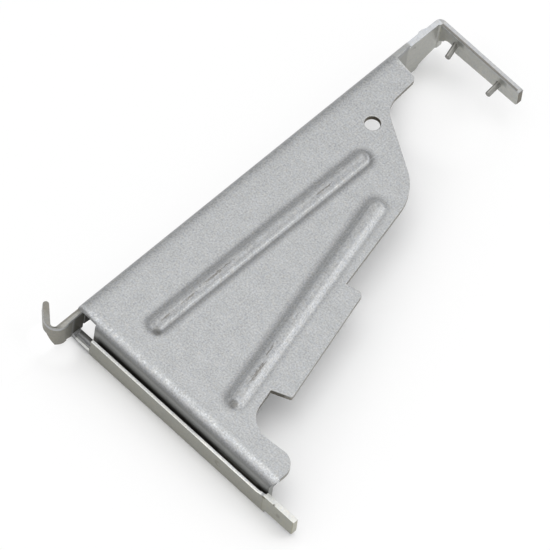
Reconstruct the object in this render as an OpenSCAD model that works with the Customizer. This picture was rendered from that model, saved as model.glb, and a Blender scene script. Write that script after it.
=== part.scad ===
/* [Sheet] */
// thickness of the galvanised sheet
sheet_t = 2.0; // [1.6:0.1:2.4]
// outer radius of the two long bends
bend_r = 2.8; // [2.6:0.1:3.4]

/* [Plate] */
// y of the plate's far end, from the front flange
plate_len = 133.1; // [131:0.5:136]
// how far the end cut leans, at the long bend
end_skew = 1.0; // [0:0.1:1.5]
// width of the plate beside the hole
far_w = 12.4; // [11:0.2:14]
// radius of the front lobe
lobe_r = 5.5; // [5:0.1:7]
// centre of the front lobe
lobe_x = 78.37; // [75:0.01:80]
// centre of the front lobe, from the front flange
lobe_y = 4.9; // [3:0.1:6]
// radius of the large shoulder
shoulder_r = 18; // [12:1:20]
// radius of the inward curve beside the hole
neck_r = 8.5; // [5:0.5:10]
// radius of the inward curve beside the lobe
front_r = 9; // [6:0.5:10]

/* [Hole] */
// diameter of the screw hole
hole_d = 5.0; // [4:0.1:6]
// hole centre from the long flange
hole_x = 14.25; // [12:0.25:16]
// hole centre from the front flange
hole_y = 111.85; // [108:0.25:114]
// rounded rim of the hole
rim = 0.3; // [0.1:0.05:0.5]

/* [Ribs] */
// radius of the ribs' rounded crest
crest_r = 3.0; // [2.6:0.1:4]
// radius of the hollow where a rib meets the plate
foot_r = 1.8; // [1:0.1:3]
// height of the ribs above the plate
rib_h = 1.4; // [1:0.1:1.6]

/* [Long flange] */
// lowest edge of the long flange, at its far end
flange_drop = 19.7; // [17:0.1:22]
// lower edge of the long flange beside the front window
window_drop = 11.5; // [10:0.1:13]

/* [Hook] */
// length of the curled end after its bend
hook_tip = 7.8; // [6:0.1:9]
// how far the hook curls
hook_turn = 131.7; // [118:0.1:136]
// outer radius of the hook's bend
hook_out = 4.0; // [3.4:0.1:4.4]
// inner radius of the hook's bend
hook_in = 1.15; // [0.8:0.05:1.6]
// top edge of the hook below the plate
hook_top = 3.0; // [2.6:0.1:4]

/* [Front channel] */
// how far the front strip stands before the flange
strip_out = 2.3; // [2:0.05:3]
// thickness of the thinned front strip
strip_t = 1.15; // [0.9:0.05:1.4]
// top edge of the front strip below the plate
strip_top = 7.4; // [6.5:0.1:8.5]
// lower corner of the channel below the plate
channel_drop = 14.75; // [14:0.05:16]
// right end of the full thickness tongue
tongue_x = 95.2; // [90:0.2:98]

/* [Arm] */
// outer face of the cross arm, from the front flange
arm_y = 155.6; // [154:0.1:158]
// length of the arm, from the long flange
arm_len = 35.65; // [33:0.05:38]
// top edge of the arm below the plate
arm_top = 2.4; // [2:0.1:3]
// lower edge of the arm below the plate
arm_drop = 10.4; // [9.5:0.1:11.5]

/* [Pins] */
// diameter of the two pins
pin_d = 1.6; // [1.2:0.1:2]
// length of the pins before the arm
pin_len = 5.3; // [3.5:0.1:6]
// lean of the first pin
pin1_lean = 16; // [0:1:20]
// lean of the second pin
pin2_lean = 5; // [0:1:10]

/* [Hidden] */
$fn = 64;
// how far cuts and joined pieces run past each other
over = 0.5;
through = 40;
// corners of the plate's outline
edge_lean = 0.2746;
far_corner = [far_w - 0.5, plate_len - 0.1];
far_corner_r = 2;
neck_corner = [far_w + 0.5, 119.4];
shoulder = [40.05, 104.05];
tab_in = [49.0, 65.5];
tab_top = [54.9, 66.9];
tab_low = [tab_top[0] + edge_lean * (tab_top[1] - 25.3), 25.3];
notch = [60.2, 22.5];
front_corner = [63.65, 9.0];
tab_top_r = 1.2;
tab_low_r = 0.8;
lobe_end = lobe_x + lobe_r;
// corner relief between the two bends
relief_left = 2.35;
relief_x = 8.2;
relief_y = 0.75;
bend_start = 0.95;
flange_end = 82.4;
// right end of the front bend from the lobe's end, in the plane leaning 45 degrees
bend_taper = [[0, 0.8], [-0.65, -1.2], [-1.25, -2.4]];
taper_low = -3.4;
// web, strip and tongue of the channel
strip_left = 9.1;
strip_right = 83.4;
neck_up = 0.85;
neck_back = 0.95;
neck_low = channel_drop - neck_up;
tongue_rise = 3.1;
tongue_left = 82.6;
tongue_top = strip_top - 1.1;
tongue_low = channel_drop - sheet_t + 0.55;
neck_r2 = 0.6;
hollow_r = 3;
hollow = 0.35;
hollow_in = 0.6;
hollow_y = -0.9;
strip_r = 0.5;
web_r = 1.4;
tongue_r = 1;
// window and lower edge of the long flange
window_y = 5.4;
window_rise = 0.6;
window_step = 1;
flange_r = 1.8;
// hook
hook_start = -4.9;
hook_bend = -6.15;
hook_far = -13;
hook_thinned = 0.3;
hook_low = neck_low - 1.75;
hook_start_low = hook_low + 0.35;
hook_bend_low = hook_low + 0.5;
hook_reach = tan(hook_turn / 2);
hook_dir = [cos(270 - hook_turn), sin(270 - hook_turn)];
hook_side = [-hook_dir[1], hook_dir[0]];
hook_corner = [0, -10.5];
hook_outer = [sheet_t, hook_corner[1] - sheet_t * hook_reach];
hook_end = hook_corner + hook_dir * (hook_in * hook_reach + hook_tip - sheet_t / 2);
// plane of the hook's lower edge, and that edge at the tip
hook_rise = [-0.31, -9.75, -9.9];
hook_tilt = 57;
hook_swing = 25;
tip_low = 7.5;
tip_rise = 0.8;
tip_back = 6;
tip_reach = 5;
// far strip and arm
stub_turn = [bend_r + 0.26, plate_len + end_skew - 0.3];
stub_x = 2.3;
stub_left = 140.2;
stub_end = 141.2;
shaved = 0.12;
shaved_y = 143;
shaved_end = 144.1;
shaved_low = 5;
strip_step = 146.3;
strip_low = 17.3;
strip_foot = [0.9, 0.6];
corner_low = 15.6;
corner_in = 0.8;
corner_out = 2.2;
bulge = 0.35;
bulge_start = 0.4;
bulge_end = 1.6;
thinned_start = 3.2;
strip_thinned = 0.25;
arm_in = arm_y - sheet_t;
arm_edge = 0.5;
arm_rise = 0.9;
arm_sag = 0.3;
arm_tip = [arm_len, -arm_drop + arm_rise];
arm_root = [bend_r, -arm_drop - arm_sag];
arm_low_r = 1.2;
arm_top_r = 0.6;
// relief under the corner bend, its steps from the arm's lower edge and its round
arm_relief = [[2.3, -8], [2.4, -1.6], [3.2, -0.4], [4.4, 0.6], [9, 0.6], [9, -8]];
relief_round_x = 6.8;
relief_round_r = 2.5;
pin1 = [9.2, -6.2];
pin2 = [27.6, -6.5];
pin_rim = 0.15;
collar_h = 0.25;
tenon_d = 1.2;
// ribs
rib_cut = 0.5;
foot_x = sqrt(pow(crest_r + foot_r, 2) - pow(foot_r - rib_h + crest_r, 2));

// piece of the corner p between its tip and the round of radius r
module corner_piece(p, a, b, r) {
  u = (a - p) / norm(a - p);
  v = (b - p) / norm(b - p);
  m = (u + v) / norm(u + v);
  half = acos(u * v) / 2;
  reach = r / tan(half);
  c = p + m * r / sin(half);
  difference() {
    polygon([p - m * over, p + u * reach, c, p + v * reach]);
    translate(c)
      circle(r);
  }
}

// quarter of a ring, the corner of a bend
module bend_section(r, thick) {
  difference() {
    intersection() {
      circle(r);
      translate([-r, 0])
        square(r);
    }
    circle(r - thick);
  }
}

// outline of the flat plate seen from above
module plate_outline() {
  difference() {
    union() {
      polygon([
        [bend_r, bend_r], [lobe_end, bend_r], [lobe_end, lobe_y], [lobe_x, lobe_y + lobe_r],
        front_corner, notch, tab_low, tab_top, tab_in, shoulder, neck_corner, far_corner,
        [bend_r, plate_len + end_skew]
      ]);
      intersection() {
        translate([lobe_x, lobe_y])
          circle(lobe_r);
        translate([bend_r, bend_r])
          square([lobe_end, lobe_end]);
      }
      corner_piece(front_corner, [lobe_x, lobe_y + lobe_r], notch, front_r);
      corner_piece(neck_corner, far_corner, shoulder, neck_r);
    }
    corner_piece(shoulder, neck_corner, tab_in, shoulder_r);
    corner_piece(far_corner, [bend_r, plate_len + end_skew], neck_corner, far_corner_r);
    corner_piece(tab_top, tab_in, tab_low, tab_top_r);
    corner_piece(tab_low, tab_top, notch, tab_low_r);
    translate([hole_x, hole_y])
      circle(d = hole_d);
  }
}

// half of a rib's section: crest and hollow foot, either the sheet's upper side or its lower side
module rib_half(side) {
  crest = [0, rib_h - crest_r];
  foot = [foot_x, foot_r];
  meet = crest + (foot - crest) * (crest_r - side) / (crest_r + foot_r);
  difference() {
    polygon([[0, -side - rib_cut], [foot_x, -side - rib_cut], [foot_x, -side], meet, [0, meet[1]]]);
    translate(foot)
      circle(foot_r + side);
  }
  intersection() {
    translate(crest)
      circle(crest_r - side);
    translate([0, meet[1]])
      square(crest_r);
  }
}

// rib between the middles a and b of its round ends
module rib(a, b, side) {
  d = b - a;
  translate([a[0], a[1], 0])
    rotate([0, 0, atan2(d[1], d[0])]) {
      rotate([90, 0, 90])
        linear_extrude(norm(d)) {
          rib_half(side);
          mirror([1, 0])
            rib_half(side);
        }
      rotate_extrude()
        rib_half(side);
      translate([norm(d), 0, 0])
        rotate_extrude()
          rib_half(side);
    }
}

module ribs(side) {
  rib([20.9, 13.4], [21.1, 100.2], side);
  rib([55.85, 12.7], [36.3, 91.2], side);
}

module plate() {
  difference() {
    union() {
      translate([0, 0, -sheet_t])
        linear_extrude(sheet_t)
          plate_outline();
      ribs(0);
    }
    ribs(sheet_t);
    // rounded rim, cut as a cone that ends above the sheet
    translate([hole_x, hole_y, -rim])
      cylinder(d1 = hole_d, d2 = hole_d + 4 * rim, h = 2 * rim);
  }
}

// long flange seen from the side, from the window beside the front flange to the strip
module side_profile() {
  difference() {
    polygon([
      [relief_left, -bend_r], [stub_end, -bend_r], [stub_end, -arm_top], [strip_step, -arm_top],
      [strip_step, -flange_drop], [window_y, -window_drop], [relief_left, -window_drop + window_rise]
    ]);
    corner_piece([strip_step, -flange_drop], [window_y, -window_drop], [strip_step, -strip_low], flange_r);
  }
}

// strip to the arm's corner, seen from above
module strip_plan() {
  difference() {
    union() {
      polygon([
        [0, strip_step - over], [0, strip_step], [-bulge, strip_step + bulge_start],
        [-bulge, strip_step + bulge_end], [strip_thinned, strip_step + thinned_start],
        [strip_thinned, arm_y], [bend_r + over, arm_y], [bend_r + over, arm_in],
        [sheet_t, arm_in], [sheet_t, strip_step - over]
      ]);
      corner_piece([sheet_t, arm_in], [sheet_t, 0], [arm_len, arm_in], corner_in);
    }
    corner_piece([strip_thinned, arm_y], [strip_thinned, 0], [arm_len, arm_y], corner_out);
  }
}

// the long bend, full beside the plate and cut away past it
module long_bend() {
  difference() {
    translate([bend_r, bend_start, -bend_r])
      rotate([-90, 0, 0])
        mirror([0, 1, 0])
          linear_extrude(stub_end - bend_start)
            bend_section(bend_r, sheet_t);
    linear_extrude(2 * bend_r, center = true)
      polygon([
        stub_turn, [stub_x, stub_left], [-over, stub_end], [-over, stub_end + over],
        [bend_r + over, stub_end + over]
      ]);
    // rounded off by the front bend
    translate([-over, 0, 0])
      rotate([90, 0, 90])
        linear_extrude(bend_r + 2 * over)
          corner_piece([0, 0], [bend_r, 0], [0, -bend_r], bend_r);
  }
}

module long_flange() {
  long_bend();
  difference() {
    rotate([90, 0, 90])
      linear_extrude(sheet_t)
        side_profile();
    // inner face shaved beside the cut bend
    translate([0, 0, -shaved_low])
      linear_extrude(shaved_low)
        polygon([
          [sheet_t + over, stub_left], [sheet_t, stub_end], [sheet_t - shaved, shaved_y],
          [sheet_t, shaved_end], [sheet_t + over, shaved_end]
        ]);
  }
}

// shank and curled end of the hook, seen from above
module hook_plan() {
  difference() {
    union() {
      polygon([
        [0, relief_left + over], [sheet_t - hook_thinned, relief_left + over],
        [sheet_t - hook_thinned, hook_start], [sheet_t, hook_start], hook_outer,
        hook_end + hook_side * sheet_t, hook_end, hook_corner
      ]);
      translate(hook_end + hook_side * sheet_t / 2)
        circle(d = sheet_t);
      corner_piece(hook_corner, [0, 0], hook_end, hook_in);
    }
    corner_piece(hook_outer, [sheet_t, 0], hook_end + hook_side * sheet_t, hook_out);
  }
}

// hook with its lower edge rising round the bend to the tip
module hook() {
  difference() {
    intersection() {
      translate([0, 0, -channel_drop])
        linear_extrude(channel_drop)
          hook_plan();
      rotate([90, 0, 90])
        linear_extrude(through, center = true)
          polygon([
            [hook_far, -hook_top], [bend_start, -hook_top], [bend_start, -bend_r],
            [relief_left + over, -bend_r], [relief_left + over, -window_drop + window_step],
            [relief_left, -window_drop + window_step], [relief_left, -neck_low + window_step],
            [neck_back, -neck_low],
            [-strip_out + neck_r2, -neck_low], [-strip_out, -neck_low + neck_r2],
            [hook_start, -hook_start_low], [hook_bend, -hook_bend_low],
            [hook_bend - sheet_t, -hook_low], [hook_far, -hook_low]
          ]);
    }
    difference() {
      translate(hook_rise)
        rotate([0, hook_tilt, hook_swing])
          translate([-through / 2, -through / 2, -through])
            cube(through);
      rotate([90, 0, 270 - hook_turn])
        linear_extrude(through, center = true)
          polygon([
            [-tip_back, 0], [-tip_back, -tip_low], [0, -tip_low],
            [tip_reach, -tip_low + tip_rise], [tip_reach, 0]
          ]);
    }
  }
}

// front bend and flange
module front_bend() {
  difference() {
    union() {
      translate([0, bend_r, -bend_r])
        rotate([90, 0, 90])
          linear_extrude(lobe_end)
            bend_section(bend_r, sheet_t);
      translate([relief_x, 0, -channel_drop])
        cube([lobe_end - relief_x, sheet_t, channel_drop - bend_r]);
    }
    // oblique relief cut at the left
    linear_extrude(through, center = true)
      polygon([
        [-over, -over], [relief_x, -over], [relief_x, relief_y], [0, bend_start], [-over, bend_start]
      ]);
    // rounded off by the long bend
    translate([0, bend_r + over, 0])
      rotate([90, 0, 0])
        linear_extrude(bend_r + 2 * over)
          corner_piece([0, 0], [bend_r, 0], [0, -bend_r], bend_r);
    // right end narrowing round the bend
    rotate([45, 0, 0])
      linear_extrude(2 * through, center = true)
        polygon([
          [lobe_end, through], for (p = bend_taper) [lobe_end + p[0], p[1]], [flange_end, taper_low],
          [flange_end, -through], [lobe_end + over, -through], [lobe_end + over, through]
        ]);
  }
}

// web below the slot with the thinned strip before it, seen from the right
module channel_section() {
  difference() {
    union() {
      translate([-strip_out, -channel_drop])
        square([strip_out + sheet_t, sheet_t]);
      translate([-strip_out, -channel_drop])
        square([strip_t, channel_drop - strip_top]);
    }
    corner_piece([-strip_out, -channel_drop], [-strip_out, 0], [sheet_t, -channel_drop], strip_r);
    corner_piece([sheet_t, -channel_drop], [-strip_out, -channel_drop], [sheet_t, 0], web_r);
  }
}

module channel() {
  translate([strip_left, 0, 0])
    rotate([90, 0, 90])
      linear_extrude(strip_right - strip_left)
        channel_section();
  // the strip's top edge rises to the tongue
  translate([0, -strip_out + strip_t, 0])
    rotate([90, 0, 0])
      linear_extrude(strip_t)
        polygon([
          [tongue_left - tongue_rise, -strip_top - over], [strip_right, -strip_top - over],
          [strip_right, -tongue_top], [tongue_left, -tongue_top], [tongue_left - tongue_rise, -strip_top]
        ]);
  // tongue past the flange's end
  translate([0, -strip_out + sheet_t, 0])
    rotate([90, 0, 0])
      linear_extrude(sheet_t)
        difference() {
          translate([tongue_left, -tongue_low])
            square([tongue_x - tongue_left, tongue_low - tongue_top]);
          corner_piece([tongue_x, -tongue_low], [tongue_left, -tongue_low], [tongue_x, 0], tongue_r);
        }
}

// bar under the window that joins the long flange to the channel
module neck() {
  difference() {
    translate([sheet_t - over, 0, 0])
      rotate([90, 0, 90])
        linear_extrude(strip_left - sheet_t + 3 * over)
          difference() {
            translate([-strip_out, -neck_low])
              square([strip_out + neck_back, sheet_t]);
            corner_piece([-strip_out, -neck_low], [-strip_out, 0], [neck_back, -neck_low], neck_r2);
          }
    // hollow along the top of the bar
    translate([sheet_t + hollow_in, hollow_y, -neck_low + sheet_t + hollow_r - hollow])
      rotate([0, 90, 0])
        cylinder(r = hollow_r, h = strip_left);
  }
}

// strip, corner bend and cross arm
module arm() {
  difference() {
    union() {
      intersection() {
        translate([0, 0, -flange_drop])
          linear_extrude(flange_drop)
            strip_plan();
        rotate([90, 0, 90])
          linear_extrude(4 * bend_r, center = true)
            polygon([
              [strip_step - over, -arm_top], [arm_y + over, -arm_top], [arm_y + over, -corner_low],
              [arm_in - corner_in, -corner_low], [strip_step + strip_foot[0], -strip_low],
              [strip_step, -strip_low - strip_foot[1]], [strip_step - over, -strip_low - strip_foot[1]]
            ]);
      }
      translate([0, arm_y, 0])
        rotate([90, 0, 0])
          linear_extrude(sheet_t)
            difference() {
              polygon([
                [bend_r, -arm_top], [arm_len, -arm_top], arm_tip, arm_root
              ]);
              corner_piece(arm_tip, arm_root, [arm_len, -arm_top], arm_low_r);
              corner_piece([arm_len, -arm_top], [bend_r, -arm_top], arm_tip, arm_top_r);
            }
    }
    // rounded upper edge of the arm's inner face
    translate([sheet_t + corner_in, 0, 0])
      rotate([90, 0, 90])
        linear_extrude(arm_len)
          corner_piece([arm_in, -arm_top], [arm_y, -arm_top], [arm_in, -arm_drop], arm_edge);
    // relief under the corner bend
    translate([0, arm_y + over, -arm_drop])
      rotate([90, 0, 0])
        linear_extrude(sheet_t + corner_out + over) {
          translate([relief_round_x, 0])
            circle(relief_round_r);
          polygon(arm_relief);
        }
    pin_holes();
  }
}

module at_pins() {
  for (p = [[pin1, pin1_lean], [pin2, pin2_lean]])
    translate([p[0][0], arm_in, p[0][1]])
      rotate([90, 0, 0])
        children();
}

module pin_holes() {
  at_pins()
    translate([0, 0, -sheet_t - over])
      cylinder(d = tenon_d, h = sheet_t + 2 * over);
}

// tenon through the arm, collar against its face, and the pin bent over by its lean
module pin(p, lean) {
  translate([p[0], arm_in, p[1]])
    rotate([90, 0, 0]) {
      translate([0, 0, -sheet_t])
        cylinder(d = tenon_d, h = sheet_t);
      cylinder(d = pin_d + 2 * pin_rim, h = collar_h);
      intersection() {
        rotate([0, lean, 0]) {
          translate([0, 0, -pin_d])
            cylinder(d = pin_d, h = pin_d + pin_len - pin_rim);
          translate([0, 0, pin_len - pin_rim])
            cylinder(d1 = pin_d, d2 = pin_d - 2 * pin_rim, h = pin_rim);
        }
        translate([-pin_len, -pin_len, collar_h / 2])
          cube(2 * pin_len);
      }
    }
}

module bracket() {
  color("#b9bcbd")
    translate([-hole_x, -hole_y, sheet_t]) {
      plate();
      long_flange();
      hook();
      front_bend();
      channel();
      neck();
      arm();
    }
}

module pins() {
  color("#8b8a85")
    translate([-hole_x, -hole_y, sheet_t]) {
      pin(pin1, pin1_lean);
      pin(pin2, pin2_lean);
    }
}

bracket();
pins();
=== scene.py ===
import math
import bpy
import bmesh
import numpy as np
from mathutils import Matrix, Vector


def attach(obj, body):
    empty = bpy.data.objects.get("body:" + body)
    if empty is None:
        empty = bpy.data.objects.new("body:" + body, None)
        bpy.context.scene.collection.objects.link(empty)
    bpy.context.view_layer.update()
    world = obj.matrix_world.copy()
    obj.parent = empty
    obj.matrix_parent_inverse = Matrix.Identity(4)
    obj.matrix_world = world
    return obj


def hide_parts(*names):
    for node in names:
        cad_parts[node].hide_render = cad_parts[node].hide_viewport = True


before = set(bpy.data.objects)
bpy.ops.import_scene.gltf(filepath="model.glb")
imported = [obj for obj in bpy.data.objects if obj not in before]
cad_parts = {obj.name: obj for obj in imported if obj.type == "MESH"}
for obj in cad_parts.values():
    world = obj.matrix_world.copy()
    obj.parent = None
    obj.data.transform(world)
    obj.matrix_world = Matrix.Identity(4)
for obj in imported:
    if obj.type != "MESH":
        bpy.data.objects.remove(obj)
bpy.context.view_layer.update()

bpy.context.scene.view_settings.view_transform = "Standard"

mm = 0.001
# where the frame's origin lies, seen from the sheet's outer corner: the numbers below are mm from that corner,
# x along the front strip, y along the long flange, z up from the plate's upper face
origin = np.array((14.25, 111.85, -2.0))
print("frame loaded")

# the photographer's place: a long lens from the front right, well above the plate
cameraSet = {
    "azimuth": 37.42,        # degrees, from -Y towards +X
    "elevation": 58.14,
    "roll": -8.95,
    "lens": 1000.0,          # mm on a 36 mm sensor
    "eye": (1488.35, -1981.45, 3894.8),   # mm from the screw hole
}


def placeCamera(s):
    a, e, r = (math.radians(s[k]) for k in ("azimuth", "elevation", "roll"))
    back = Vector((math.cos(e) * math.sin(a), -math.cos(e) * math.cos(a), math.sin(e)))
    right = Vector((math.cos(a), math.sin(a), 0))
    up = back.cross(right)
    rolledRight = math.cos(r) * right - math.sin(r) * up
    rolledUp = math.sin(r) * right + math.cos(r) * up
    data = bpy.data.cameras.new("camera")
    data.lens = s["lens"]
    data.sensor_width = 36
    data.clip_end = 100
    camera = bpy.data.objects.new("camera", data)
    bpy.context.collection.objects.link(camera)
    turn = Matrix((rolledRight, rolledUp, back)).transposed().to_4x4()
    camera.matrix_world = Matrix.Translation(Vector(s["eye"]) * mm) @ turn
    bpy.context.scene.camera = camera


placeCamera(cameraSet)
print("camera placed")


# a node's output as a value: + - * / and the calls below add Math nodes
class Sock:
    def __init__(self, shader, out):
        self.shader = shader
        self.out = out

    def math(self, operation, *values):
        return self.shader.add("ShaderNodeMath", {"operation": operation}, dict(enumerate(values)))

    def __add__(self, other): return self.math("ADD", self, other)
    def __radd__(self, other): return self.math("ADD", other, self)
    def __sub__(self, other): return self.math("SUBTRACT", self, other)
    def __rsub__(self, other): return self.math("SUBTRACT", other, self)
    def __mul__(self, other): return self.math("MULTIPLY", self, other)
    def __rmul__(self, other): return self.math("MULTIPLY", other, self)
    def __truediv__(self, other): return self.math("DIVIDE", self, other)
    def __abs__(self): return self.math("ABSOLUTE", self)
    def root(self): return self.math("SQRT", self)
    def least(self, other): return self.math("MINIMUM", self, other)
    def most(self, other): return self.math("MAXIMUM", self, other)

    # 0 below low, 1 above high, smooth between; low above high turns it round
    def step(self, low, high):
        sockets = {0: self, 1: low, 2: high}
        return self.shader.add("ShaderNodeMapRange", {"interpolation_type": "SMOOTHSTEP"}, sockets)

    # 1 inside the two ends, 0 outside, fading over soft
    def between(self, low, high, soft):
        return self.step(low - soft, low) * self.step(high + soft, high)


class Shader:
    def __init__(self, name):
        self.material = bpy.data.materials.new(name)
        self.material.use_nodes = True
        self.tree = self.material.node_tree
        self.tree.nodes.clear()

    # one node: its type, its settings, the values or links of its sockets, and which output is used
    def add(self, kind, settings=None, sockets=None, out=0):
        node = self.tree.nodes.new(kind)
        for key, value in (settings or {}).items():
            if key == "stops":
                ramp = node.color_ramp
                while len(ramp.elements) < len(value):
                    ramp.elements.new(0.5)
                for element, (place, color) in zip(ramp.elements, value):
                    element.position = place
                    element.color = color
            else:
                setattr(node, key, value)
        for key, value in (sockets or {}).items():
            if isinstance(value, Sock):
                self.tree.links.new(value.out, node.inputs[key])
            else:
                node.inputs[key].default_value = value
        return Sock(self, node.outputs[out])

    def mix(self, factor, first, second):
        return self.add("ShaderNodeMix", {"data_type": "RGBA"}, {0: factor, 6: first, 7: second}, 2)

    # colour times a grey value
    def shade(self, color, grey):
        return self.add("ShaderNodeVectorMath", {"operation": "SCALE"}, {0: color, "Scale": grey})

    def noise(self, where, scale, detail=2.0, rough=0.5):
        sockets = {"Vector": where, "Scale": scale, "Detail": detail, "Roughness": rough}
        return self.add("ShaderNodeTexNoise", {}, sockets)

    # the place on the piece in mm from the sheet's outer corner
    def place(self):
        coords = self.add("ShaderNodeTexCoord", out=3)
        sockets = {"Vector": coords, "Location": tuple(origin), "Scale": (1000, 1000, 1000)}
        return self.add("ShaderNodeMapping", {}, sockets)

    def turned(self, where, angle, scale):
        sockets = {"Vector": where, "Rotation": (0, 0, math.radians(angle)), "Scale": scale}
        return self.add("ShaderNodeMapping", {"vector_type": "TEXTURE"}, sockets)

    def parts(self, vector):
        node = self.tree.nodes.new("ShaderNodeSeparateXYZ")
        self.tree.links.new(vector.out, node.inputs[0])
        return [Sock(self, out) for out in node.outputs]

    # three values as one vector
    def joined(self, x, y, z=0.0):
        return self.add("ShaderNodeCombineXYZ", {}, {0: x, 1: y, 2: z})

    # the side a face looks to, in the piece's own directions
    def facing(self, direction):
        normal = self.add("ShaderNodeTexCoord", out=1)
        return self.add("ShaderNodeVectorMath", {"operation": "DOT_PRODUCT"}, {0: normal, 1: direction}, 1)

    # a value read off straight lines between (place, value) points
    def curve(self, value, points):
        low, high = points[0][0], points[-1][0]
        top = max(v for _, v in points)
        stops = [((at - low) / (high - low), (v / top, v / top, v / top, 1)) for at, v in points]
        return self.add("ShaderNodeValToRGB", {"stops": stops}, {0: (value - low) / (high - low)}) * top

    def vector(self, operation, *values):
        return self.add("ShaderNodeVectorMath", {"operation": operation}, dict(enumerate(values)))

    # 1 inside a box, 0 outside, fading over fade along each axis
    def box(self, where, low, high, fade):
        low, high, fade = np.array(low), np.array(high), np.broadcast_to(fade, 3)
        away = self.vector("ABSOLUTE", self.vector("SUBTRACT", where, tuple((low + high) / 2)))
        inside = self.vector("MULTIPLY_ADD", away, tuple(-1 / fade), tuple(((high - low) / 2 + fade) / fade))
        x, y, z = self.parts(inside)
        return x.least(y).least(z).step(0.0, 1.0)

    # 1 in the middle of a round patch, fading to 0 at its edge
    def patch(self, where, centre, half):
        away = self.vector("SUBTRACT", where, centre)
        scaled = self.vector("MULTIPLY", away, tuple(1 / np.array(half)))
        settings = {"operation": "DOT_PRODUCT"}
        return self.add("ShaderNodeVectorMath", settings, {0: scaled, 1: scaled}, 1).step(1.6, 0.3)

    # colour times a tint, where the mask is 1
    def tinted(self, mask, color, tint):
        settings = {"data_type": "RGBA", "blend_type": "MULTIPLY"}
        return self.add("ShaderNodeMix", settings, {0: mask, 6: color, 7: (*tint, 1)}, 2)

    def bump(self, height, distance, strength=1.0):
        return self.add("ShaderNodeBump", {}, {"Strength": strength, "Distance": distance, "Height": height})

    def finish(self, surface):
        out = self.tree.nodes.new("ShaderNodeOutputMaterial")
        self.tree.links.new(surface.out, out.inputs[0])
        return self.material


stageSet = {
    "floorGrey": 0.93,
    "floorSize": 6.0,                    # m
    # painted light on the floor, thinning the object's shadow in spots seen through the screw hole, by the hook and
    # inside the arm: place x, y and half widths in mm, and share of white
    "paintedLightSpots": ((7.7, 120.1, 7.0, 7.0, 0.55), (3.5, 6.5, 7.0, 6.0, 0.80), (0.0, -8.0, 8.0, 6.0, 0.70),
                 (22.0, 138.0, 16.0, 14.0, 0.55)),
    "strip": (-2.3, -14.75),             # y, z of the front strip's lower corner, mm
    "flange": (146.3, -19.7),            # y, z of the long flange's lowest point, mm
    "worldLight": 0.77,
    # lamps: where they hang as a direction, distance and size in m, power in W
    "overhead": ((0.0, 0.0, 1.0), 1.3, 1.1, 5.0),
    "back": ((0.6, 0.6, 1.0), 1.6, 0.7, 3.2),
}


def floorMaterial(s):
    sh = Shader("paleFloor")
    tone = sh.noise(sh.place(), 0.004, 1.0) * 0.004 + (s["floorGrey"] - 0.002)
    color = sh.shade((1, 1, 1), tone)
    x, y, z = sh.parts(sh.place())
    lit = 0.0
    for sx, sy, rx, ry, share in s["paintedLightSpots"]:
        u, v = (x - sx) / rx, (y - sy) / ry
        lit = (u * u + v * v).step(1.6, 0.2) * share + lit
    # painted light thinning the shadow on the open floor left of the long flange, well right of the sheet's edge,
    # and in front
    lit = x.step(1.5, -3.0) * 0.85 + lit + (x + y * 0.5).step(90, 116) * 0.55 + y.step(-12, -34) * 0.6
    seen = sh.add("ShaderNodeLightPath") * lit.least(1.0)
    glow = sh.add("ShaderNodeEmission", {}, {"Color": (1, 1, 1, 1), "Strength": 1.0})
    matt = sh.add("ShaderNodeBsdfDiffuse", {}, {"Color": color})
    return sh.finish(sh.add("ShaderNodeMixShader", {}, {0: seen, 1: matt, 2: glow}))


# the part lies on the strip's lower corner and the long flange's lowest point, and the floor leans with them:
# height = height at the strip + lean * distance along y
def layFloor(s):
    y0, z0 = s["strip"][0] - origin[1], s["strip"][1] - origin[2]
    y1, z1 = s["flange"][0] - origin[1], s["flange"][1] - origin[2]
    lean = (z1 - z0) / (y1 - y0)
    half = s["floorSize"] / 2
    u, v = np.meshgrid((-half, half), (-half, half))
    points = np.stack((u, v, (z0 - lean * y0) * mm + lean * v), axis=-1).reshape(-1, 3)
    mesh = bpy.data.meshes.new("floor")
    mesh.from_pydata(points, [], [(0, 1, 3, 2)])
    floor = bpy.data.objects.new("floor", mesh)
    bpy.context.collection.objects.link(floor)
    floor.data.materials.append(floorMaterial(s))


def makeWorld(s):
    world = bpy.data.worlds.new("paleRoom")
    bpy.context.scene.world = world
    world.use_nodes = True
    tree = world.node_tree
    tree.nodes.clear()
    out = tree.nodes.new("ShaderNodeOutputWorld")
    light = tree.nodes.new("ShaderNodeBackground")
    seen = tree.nodes.new("ShaderNodeBackground")
    mix = tree.nodes.new("ShaderNodeMixShader")
    path = tree.nodes.new("ShaderNodeLightPath")
    light.inputs["Strength"].default_value = s["worldLight"]
    either = path.outputs["Is Camera Ray"]
    for ray in ("Is Glossy Ray", "Is Transmission Ray"):
        more = tree.nodes.new("ShaderNodeMath")
        more.operation = "MAXIMUM"
        tree.links.new(either, more.inputs[0])
        tree.links.new(path.outputs[ray], more.inputs[1])
        either = more.outputs[0]
    for node in (light, seen):
        node.inputs["Color"].default_value = (1, 1, 1, 1)
    tree.links.new(either, mix.inputs[0])
    tree.links.new(light.outputs[0], mix.inputs[1])
    tree.links.new(seen.outputs[0], mix.inputs[2])
    tree.links.new(mix.outputs[0], out.inputs[0])


def hangLamp(name, direction, distance, size, watts):
    data = bpy.data.lights.new(name, "AREA")
    data.shape = "DISK"
    data.size = size
    data.energy = watts
    lamp = bpy.data.objects.new(name, data)
    bpy.context.collection.objects.link(lamp)
    lamp.location = Vector(direction).normalized() * distance
    lamp.rotation_euler = lamp.location.to_track_quat("Z", "Y").to_euler()


layFloor(stageSet)
makeWorld(stageSet)
hangLamp("overheadSoftbox", *stageSet["overhead"])
hangLamp("backSoftbox", *stageSet["back"])
print("stage set")

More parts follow.
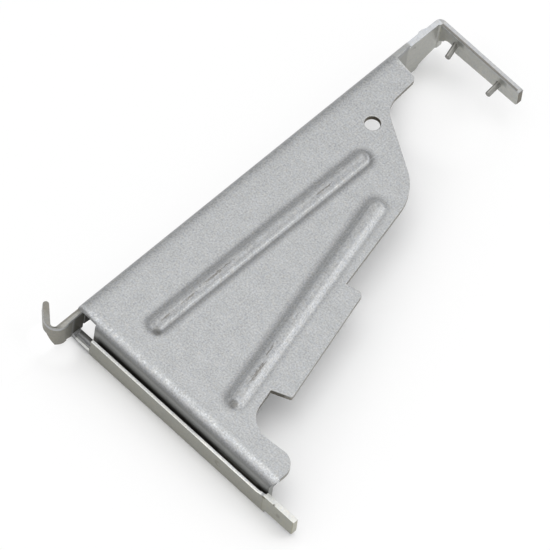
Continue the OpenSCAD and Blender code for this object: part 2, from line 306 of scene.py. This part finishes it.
zincSet = {
    "plain": (0.402, 0.408, 0.410, 1),
    "cool": (0.380, 0.392, 0.408, 1),
    "warm": (0.416, 0.410, 0.396, 1),
    "metal": 0.5,
    "rough": 0.42,
    # painted highlight and painted shade round the two bends: angle round it in degrees, and the share of
    # brightness
    "frontBend": ((-60, 1.0), (-8, 1.0), (4, 1.07), (18, 1.20), (28, 1.44), (38, 1.40), (47, 1.24), (56, 1.0),
                  (66, 0.73), (76, 0.57), (90, 0.48), (102, 0.45), (113, 0.54), (123, 0.70), (137, 0.70)),
    "longBend": ((-60, 1.0), (-40, 0.98), (-23, 0.92), (-12, 0.87), (0, 0.79), (14, 0.75), (38, 0.71), (48, 0.75),
                 (90, 0.75)),
    # painted highlight and painted shade across a rib, darkest along its right foot: distance in mm from its middle
    # line, towards the right, and the share of brightness
    "rib1": ((-5.2, 1.0), (-4.4, 0.93), (-3.6, 0.67), (-3.2, 0.57), (-2.8, 0.65), (-2.4, 0.76), (-1.2, 0.80),
             (-0.4, 0.92), (0.0, 0.94), (0.8, 0.72), (1.3, 0.66), (1.7, 0.98), (2.0, 1.42), (2.4, 0.88),
             (2.8, 0.40), (3.2, 0.45), (3.6, 0.60), (4.4, 0.85), (5.2, 1.0)),
    "rib2": ((-6.0, 0.98), (-5.0, 0.86), (-4.4, 0.77), (-3.6, 0.56), (-3.2, 0.55), (-2.8, 0.68), (-2.4, 0.79),
             (-1.2, 0.90), (-0.6, 0.93), (0.0, 0.87), (0.8, 0.85), (1.2, 0.95), (1.6, 1.21), (2.0, 1.46),
             (2.4, 1.20), (2.8, 0.88), (3.4, 0.79), (4.2, 0.93), (5.0, 1.0)),
}

# the ribs' middle lines, from one round end's centre to the other's, mm
ribLines = {"rib1": ((20.9, 13.4), (21.1, 100.2)), "rib2": ((55.85, 12.7), (36.3, 91.2))}

# worn streaks on the ribs' crests: rib, distance along it and across it, half length and half width, all in mm
scuffSet = (
    ("rib1", 25.5, -0.10, 6.5, 0.45),
    ("rib1", 13.0, 0.35, 3.0, 0.35),
    ("rib1", 3.2, 0.50, 3.0, 0.30),
    ("rib1", 70.0, 0.40, 5.0, 0.25),
    ("rib2", 10.8, 0.30, 4.6, 0.60),
    ("rib2", 19.5, -0.55, 2.5, 0.30),
)

# small spots: painted dark reflection where the two ribs' lower ends turn down, painted shade and highlight at a
# dent on the strip, and darker marks at nicks near the tongue: place on the sheet, half widths along x, y and z,
# all in mm, and tint
paintedSpotSet = (
    ((23.0, 11.3, 0.6), (1.5, 1.4, 1.5), (0.52, 0.51, 0.49)),
    ((56.3, 10.3, 0.6), (1.5, 1.4, 1.5), (0.55, 0.54, 0.52)),
    ((63.5, -2.3, -10.8), (1.2, 0.5, 1.3), (0.72, 0.71, 0.70)),
    ((63.9, -2.3, -10.9), (0.6, 0.5, 0.7), (1.45, 1.45, 1.45)),
    ((89.0, -2.3, -9.8), (0.9, 0.5, 0.9), (0.70, 0.70, 0.70)),
    ((86.8, -2.3, -5.9), (0.5, 0.7, 0.6), (0.22, 0.20, 0.16)),
    ((82.6, -2.3, -6.9), (0.8, 0.8, 0.5), (0.45, 0.42, 0.36)),
)

# places with a tint of their own, some the metal's own colour, others painted highlight and painted shade as each
# line says: lowest and highest corner in mm from the sheet's outer corner, how softly the place ends, the side its
# faces look to (None for every side) and its tint
placeSet = {
    # painted highlight on the upward faces just below the plate's top: the softened cut edges and where the bends
    # begin
    "rim": ((3.3, 3.0, -0.22), (90, 140, -0.03), 0.03, (0, 0, 1), (1.18, 1.17, 1.13)),
    "cutEdge": ((3.3, 2.9, -2.3), (90, 140, -0.6), (0.2, 0.2, 0.4), "level", (0.60, 0.56, 0.48)),
    "sideEdge": ((3.3, 66.0, -2.3), (60, 140, -0.6), (0.2, 8.0, 0.4), "level", (0.80, 0.79, 0.77)),
    # painted shade on the notch's wall
    "notchWallShade": ((54.0, 12.0, -2.3), (64.0, 28.5, -0.4), 0.3, "level", (0.55, 0.53, 0.48)),
    # painted highlight along the plate's cut end
    "endRim": ((3.5, 133.0, -0.5), (16.0, 133.9, 0.1), 0.15, None, (1.22, 1.22, 1.20)),
    # painted highlight on the upward face of the bend's stub
    "stubTop": ((-0.5, 134.0, -3.0), (7.0, 141.2, 0.2), 0.25, (0, 0, 1), (1.25, 1.25, 1.22)),
    "pinShadeNear": ((10.2, 153.0, -4.2), (11.6, 153.8, -3.2), (1.2, 0.3, 1.2), None, (0.66, 0.67, 0.66)),
    "pinShadeFar": ((28.6, 153.0, -4.6), (30.0, 153.8, -3.6), (1.2, 0.3, 1.2), None, (0.70, 0.71, 0.70)),
    # painted shade inside the screw hole, in a brownish tint
    "holeWallShade": ((11.5, 109.1, -2.2), (17.0, 114.6, -0.3), 0.1, "level", (0.55, 0.50, 0.42)),
    "frontFlange": ((8.0, -0.2, -16.0), (84.0, 2.3, -3.2), 0.6, None, (1.0, 1.0, 0.96)),
    # painted shade deep in the gap between the front flange and the strip
    "creviceShade": ((8.0, -0.3, -20.0), (84.0, 1.0, -8.7), (0.5, 0.3, 2.6), (0, -1, 0), (0.16, 0.14, 0.11)),
    # painted light, a lighter patch in that gap
    "paintedLightInGap": ((63.0, -0.3, -9.6), (76.5, 1.0, -8.0), (2.5, 0.3, 0.5), (0, -1, 0), (3.2, 3.3, 3.4)),
    # warmer tint with painted shade on the strip's forward face
    "stripFace": ((9.0, -2.6, -15.0), (82.4, -1.0, -6.9), 0.1, (0, -1, 0), (0.72, 0.70, 0.61)),
    # these three: lighter bare cut metal with painted highlight on the strip's and tongue's upward faces
    "stripTop": ((9.0, -2.6, -7.6), (52.0, -1.0, -6.9), (10.0, 0.3, 0.3), (0, 0, 1), (1.90, 1.87, 1.80)),
    "stripTopRight": ((62.0, -2.6, -7.6), (82.4, -1.0, -6.9), (10.0, 0.3, 0.3), (0, 0, 1), (2.25, 2.22, 2.15)),
    "tongueTop": ((82.4, -2.6, -7.6), (95.5, 0.1, -6.0), 0.3, (0, 0, 1), (1.62, 1.60, 1.52)),
    # warmer tint with painted shade on the tongue's forward face
    "tongueFace": ((82.4, -2.6, -15.0), (94.9, 0.1, -6.0), 0.3, (0, -1, 0), (0.81, 0.79, 0.68)),
    "tongueEnd": ((94.9, -2.6, -15.0), (95.6, 0.1, -6.0), 0.2, "level", (1.0, 0.96, 0.80)),
    # painted shade on the hook's sides, in a warmer tint
    "hookSide": ((-12.0, -16.0, -15.0), (3.0, -2.9, -4.3), 0.4, "level", (0.60, 0.57, 0.49)),
    "hookTop": ((-12.0, -16.0, -4.3), (4.0, 0.9, -2.0), 0.4, (0, 0, 1), (0.60, 0.58, 0.53)),
    # painted highlight along the ridge on the hook's top
    "hookRidgeHighlight": ((-12.0, -6.5, -4.3), (4.0, 0.9, -2.0), (0.4, 1.5, 0.4), (0, 0, 1), (1.30, 1.30, 1.30)),
    # painted shade on the outer part of the hook's top
    "hookTopFar": ((-12.0, -6.5, -4.3), (0.5, 0.9, -2.0), (0.4, 1.5, 0.4), (0, 0, 1), (0.70, 0.68, 0.65)),
    # painted shade on the flange's inner face at the hook's root
    "hookRootShade": ((1.0, -1.2, -12.0), (4.6, 5.0, -4.4), (0.4, 2.2, 0.9), (1, 0, 0), (0.27, 0.25, 0.20)),
    # painted highlight along the neck
    "neckHighlight": ((3.6, -2.2, -13.0), (8.6, -1.7, -10.0), (0.6, 0.7, 0.6), None, (2.0, 1.98, 1.90)),
    "neckShade": ((3.0, 0.2, -13.0), (9.0, 4.0, -10.0), (0.6, 0.8, 0.6), None, (0.25, 0.24, 0.22)),
    "farStrip": ((-1.0, 136.0, -20.0), (2.6, 156.0, -2.8), 0.3, "level", (1.05, 1.03, 0.95)),
    # painted highlight on the far strip's upward face
    "farStripTop": ((-1.0, 141.2, -2.9), (2.6, 154.2, -1.9), 0.3, (0, 0, 1), (1.36, 1.37, 1.40)),
    "arm": ((2.6, 152.0, -20.0), (40.0, 155.0, -2.9), 0.3, "level", (1.10, 1.08, 1.00)),
    # painted shade along the arm's rounded inner top edge
    "armLipShade": ((2.6, 152.0, -2.5), (34.6, 154.35, -1.9), 0.12, None, (0.50, 0.47, 0.42)),
    # painted highlight along the arm's top
    "armTop": ((2.6, 154.6, -2.9), (34.6, 156.0, -1.9), 0.2, None, (1.18, 1.17, 1.17)),
    "armEnd": ((34.7, 152.0, -20.0), (37.0, 156.6, -2.8), 0.25, (1, 0, 0), (0.28, 0.25, 0.20)),
}


# distances from a rib's middle line: along it, and across it with the left side below zero; round its ends the
# distance from the end's centre keeps the side's sign
def ribPlace(sh, x, y, line):
    (ax, ay), (bx, by) = line
    length = math.hypot(bx - ax, by - ay)
    dx, dy = (bx - ax) / length, (by - ay) / length
    along = (x - ax) * dx + (y - ay) * dy
    across = (x - ax) * dy - (y - ay) * dx
    past = along - along.most(0.0).least(length)
    return along, across, past


def zincMaterial(s):
    sh = Shader("galvanisedZinc")
    where = sh.place()
    x, y, z = sh.parts(where)
    up = sh.facing((0, 0, 1))
    fine = sh.noise(where, 1.8, 3.0, 0.6)
    soft = sh.noise(where, 0.22, 2.0)
    tint = sh.noise(where, 1.0, 2.0, 0.6)
    color = sh.mix(tint.step(0.46, 0.64), s["plain"], s["cool"])
    color = sh.mix(tint.step(0.42, 0.28), color, s["warm"])
    # fine grain, soft clouds, few dark specks, and slanting streaks beside the long bend
    specks = sh.noise(where, 1.3, 1.0).step(0.70, 0.78)
    streaks = sh.noise(sh.turned(where, 35, (6.0, 1.0, 1.0)), 0.9, 2.0)
    tone = (fine - 0.5) * 1.35 + (soft - 0.5) * 0.25 + 1.0
    tone = tone - specks * 0.10 + (streaks - 0.5) * 0.20 * x.step(14, 3)
    calm = z.step(-3.2, -4.4).most(y.step(133.6, 134.2)).most(y.step(-0.4, -1.0))
    tone = (tone - 1.0) * (1.0 - calm * 0.6) + 1.0
    # painted highlight and painted shade on the two bends, each by the angle round it
    behind = z.step(-9.0, -7.5)
    frontAngle = sh.add("ShaderNodeMath", {"operation": "ARCTAN2"}, {0: 2.8 - y, 1: z + 2.8}) * 57.2958
    frontShare = sh.curve(frontAngle, s["frontBend"])
    onFront = y.step(12, 8) * y.step(-0.3, -0.1) * x.step(2.0, 4.5) * behind.most(x.step(6, 8))
    longAngle = sh.add("ShaderNodeMath", {"operation": "ARCTAN2"}, {0: 2.8 - x, 1: z + 2.8}) * 57.2958
    longShare = sh.curve(longAngle, s["longBend"])
    onLong = x.step(12, 8) * y.between(2.5, 139.5, 1.0)
    # painted highlight in white flecks along the front bend's brightest line
    highlightBlobs = sh.noise(where, 1.1, 2.0, 0.6).step(0.50, 0.62) * frontAngle.between(16, 34, 10)
    frontShare = frontShare + highlightBlobs * 0.28
    tone = tone * ((frontShare - 1.0) * onFront + 1.0) * ((longShare - 1.0) * onLong + 1.0)
    onPlate = z.step(-0.3, -0.05) * up.step(0.2, 0.5)
    scuffs = 0.0
    for name, line in ribLines.items():
        along, across, past = ribPlace(sh, x, y, line)
        reach = (across * across + past * past).root()
        # painted highlight and painted shade across each rib; round the ends one flank's share turns into the
        # other's
        toRight = across / (reach + 0.01) * 0.5 + 0.5
        leftShare = sh.curve(-1.0 * reach, s[name])
        share = (sh.curve(reach, s[name]) - leftShare) * toRight.step(0.0, 1.0) + leftShare
        near = reach.step(6.0, 5.0) * onPlate
        worn = sh.noise(sh.joined(across * 2.2, along * 0.22, 3.0), 1.0, 2.0, 0.6)
        streak = worn.step(0.56, 0.72) * across.between(-1.6, 1.9, 0.4) * 0.22
        tone = tone * ((share + streak - 1.0) * near + 1.0)
        for rib, at, aside, half, width in scuffSet:
            if rib == name:
                u = (along - at) / half
                v = (across - aside) / width
                ragged = sh.noise(sh.joined(across * 4.0, along * 0.7, at), 1.0, 3.0, 0.7)
                mark = (1.0 - (u * u + v * v) * 0.5 + (ragged - 0.5) * 3.2).step(0.35, 0.95)
                scuffs = mark * near.least((u * u + v * v).step(2.6, 1.2)) + scuffs
    color = sh.shade(color, tone)
    scuffs = scuffs.least(1.0)
    color = sh.tinted(scuffs * 0.9, color, (0.50, 0.47, 0.43))
    level = 1.0 - abs(up).step(0.3, 0.6)
    for low, high, fade, side, placeTint in placeSet.values():
        mask = sh.box(where, low, high, fade)
        if side == "level":
            mask = mask * level
        elif side:
            mask = mask * sh.facing(side).step(0.5, 0.8)
        color = sh.tinted(mask, color, placeTint)
    # painted shade and highlight in small spots
    for centre, half, spotTint in paintedSpotSet:
        color = sh.tinted(sh.patch(where, centre, half), color, spotTint)
    surface = sh.add("ShaderNodeBsdfPrincipled", {}, {
        "Base Color": color, "Roughness": (fine - 0.5) * 0.25 + s["rough"], "Metallic": s["metal"],
        "Normal": sh.bump(fine, 0.00004, 0.3),
    })
    return sh.finish(surface)


zinc = zincMaterial(zincSet)

sheetSet = {
    "edge": 0.16,            # mm, softened cut edges
    "steps": 2,
    "sharp": 50.0,           # degrees, from which an edge counts as cut
    "sliver": 0.1,           # mm, faces thinner than this are joined to the next
}


# the node's own form with its loose triangles joined and its cut edges softened
def softenedSheet(s):
    bm = bmesh.new()
    bm.from_mesh(bpy.data.objects["bracket"].data)
    bmesh.ops.remove_doubles(bm, verts=bm.verts, dist=2e-6)
    bmesh.ops.dissolve_degenerate(bm, edges=bm.edges, dist=2e-5)
    # slivers go into the face beyond their longest edge
    slivers = set()
    for face in bm.faces:
        longest = max(face.edges, key=lambda edge: edge.calc_length())
        if 2 * face.calc_area() < s["sliver"] * mm * longest.calc_length():
            slivers.add(longest)
    bmesh.ops.dissolve_edges(bm, edges=list(slivers), use_verts=False)
    bmesh.ops.dissolve_limit(bm, angle_limit=math.radians(0.2), verts=bm.verts, edges=bm.edges)
    # how far each cut edge is softened: less where a short edge meets it
    weights = bm.edges.layers.float.new("bevel_weight_edge")
    for edge in bm.edges:
        if len(edge.link_faces) == 2 and edge.calc_face_angle(0.0) > math.radians(s["sharp"]):
            line = (edge.verts[1].co - edge.verts[0].co).normalized()
            room = s["edge"] * mm
            for end in edge.verts:
                for other in end.link_edges:
                    turn = abs(line.dot((other.verts[1].co - other.verts[0].co).normalized()))
                    if other is not edge and turn < 0.8:
                        room = min(room, 0.45 * other.calc_length())
            edge[weights] = room / (s["edge"] * mm)
    mesh = bpy.data.meshes.new("foldedSheet")
    bm.to_mesh(mesh)
    bm.free()
    mesh.polygons.foreach_set("use_smooth", np.ones(len(mesh.polygons), dtype=bool))
    sheet = bpy.data.objects.new("foldedSheet", mesh)
    bpy.context.collection.objects.link(sheet)
    bevel = sheet.modifiers.new("softEdges", "BEVEL")
    bevel.width = s["edge"] * mm
    bevel.segments = s["steps"]
    bevel.limit_method = "WEIGHT"
    bevel.use_clamp_overlap = False
    even = sheet.modifiers.new("evenShading", "WEIGHTED_NORMAL")
    even.mode = "FACE_AREA"
    even.keep_sharp = True
    return sheet


sheet = softenedSheet(sheetSet)
sheet.data.materials.append(zinc)
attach(sheet, "root")
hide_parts("bracket")
print("sheet made")

pinSet = {
    # foot on the arm's inner face, seen from the screw hole, mm, and which way the pin points
    "near": ((-5.05, 41.75, -4.2), (0.276, -0.961, 0.0)),
    "far": ((13.35, 41.75, -4.5), (0.087, -0.996, 0.0)),
    # the turned shape from the foot to the tip: distance along the axis and radius, mm
    "profile": ((-0.4, 0.0), (-0.4, 1.05), (0.25, 1.05), (0.32, 0.98), (0.36, 0.91), (5.08, 0.91), (5.22, 0.86),
                (5.30, 0.74), (5.26, 0.35), (5.26, 0.0)),
    "around": 40,
    "color": (0.25, 0.25, 0.235, 1),
    "worn": (0.31, 0.305, 0.285, 1),
    # painted reflection in streaks along the pin: angle round the pin in degrees from straight up, and the share of
    # brightness
    "streaks": ((-180, 0.9), (-95, 1.0), (-52, 1.05), (-30, 0.72), (-16, 0.55), (-4, 0.75), (10, 1.35), (24, 1.05),
                (50, 0.62), (90, 0.7), (180, 0.9)),
    "metal": 0.6,
    "rough": 0.38,
}


# place = foot + distance * direction + radius * (cos(angle) * up + sin(angle) * aside), for all rows of the
# profile and all angles at once
def turnedPin(name, foot, direction, s):
    rows = np.array(s["profile"])
    angle = np.linspace(-math.pi, math.pi, s["around"] + 1)
    axis = np.array(direction) / np.linalg.norm(direction)
    up = np.array((0.0, 0.0, 1.0))
    aside = np.cross(axis, up)
    ring = np.cos(angle)[:, None] * up + np.sin(angle)[:, None] * aside
    points = np.array(foot) + rows[:, 0, None, None] * axis + rows[:, 1, None, None] * ring[None]
    n = len(angle)
    i, j = np.meshgrid(np.arange(len(rows) - 1), np.arange(n - 1), indexing="ij")
    first = (i * n + j).ravel()
    faces = np.stack((first, first + 1, first + n + 1, first + n), axis=1)
    mesh = bpy.data.meshes.new(name)
    mesh.from_pydata(points.reshape(-1, 3) * mm, [], faces.tolist())
    uv = mesh.uv_layers.new(name="drawn")
    place = np.stack(np.meshgrid(np.degrees(angle) / 360 + 0.5, rows[:, 0] / rows[-1, 0]), axis=-1).reshape(-1, 2)
    corners = np.empty(len(mesh.loops), dtype=np.int32)
    mesh.loops.foreach_get("vertex_index", corners)
    uv.data.foreach_set("uv", place[corners].ravel())
    bm = bmesh.new()
    bm.from_mesh(mesh)
    bmesh.ops.remove_doubles(bm, verts=bm.verts, dist=2e-6)
    bmesh.ops.dissolve_degenerate(bm, edges=bm.edges, dist=2e-6)
    bmesh.ops.recalc_face_normals(bm, faces=bm.faces)
    bm.to_mesh(mesh)
    bm.free()
    pin = bpy.data.objects.new(name, mesh)
    bpy.context.collection.objects.link(pin)
    mesh.polygons.foreach_set("use_smooth", np.ones(len(mesh.polygons), dtype=bool))
    mesh.set_sharp_from_angle(angle=math.radians(40))
    return pin


def pinMaterial(s):
    sh = Shader("drawnSteel")
    around, along, none = sh.parts(sh.add("ShaderNodeTexCoord", out=2))
    drawn = sh.noise(sh.joined(around * 26.0, along * 1.5), 1.0, 2.0)
    mottle = sh.noise(sh.place(), 1.6, 2.0)
    color = sh.mix(mottle, s["color"], s["worn"])
    # painted reflection: lighter and darker streaks by the angle round the pin
    share = sh.curve(around * 360.0 - 180.0, s["streaks"])
    # the tip's face is even, with a dull rim
    tip = along.step(0.985, 0.995)
    share = (0.95 - share) * tip + share + (drawn - 0.5) * 0.3
    surface = sh.add("ShaderNodeBsdfPrincipled", {}, {
        "Base Color": sh.shade(color, share), "Roughness": (drawn - 0.5) * 0.2 + s["rough"], "Metallic": s["metal"],
    })
    return sh.finish(surface)


steel = pinMaterial(pinSet)
for name in ("near", "far"):
    pin = turnedPin(name + "Pin", *pinSet[name], pinSet)
    pin.data.materials.append(steel)
    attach(pin, "root")
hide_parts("pins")
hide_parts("pins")
print("pins finished")
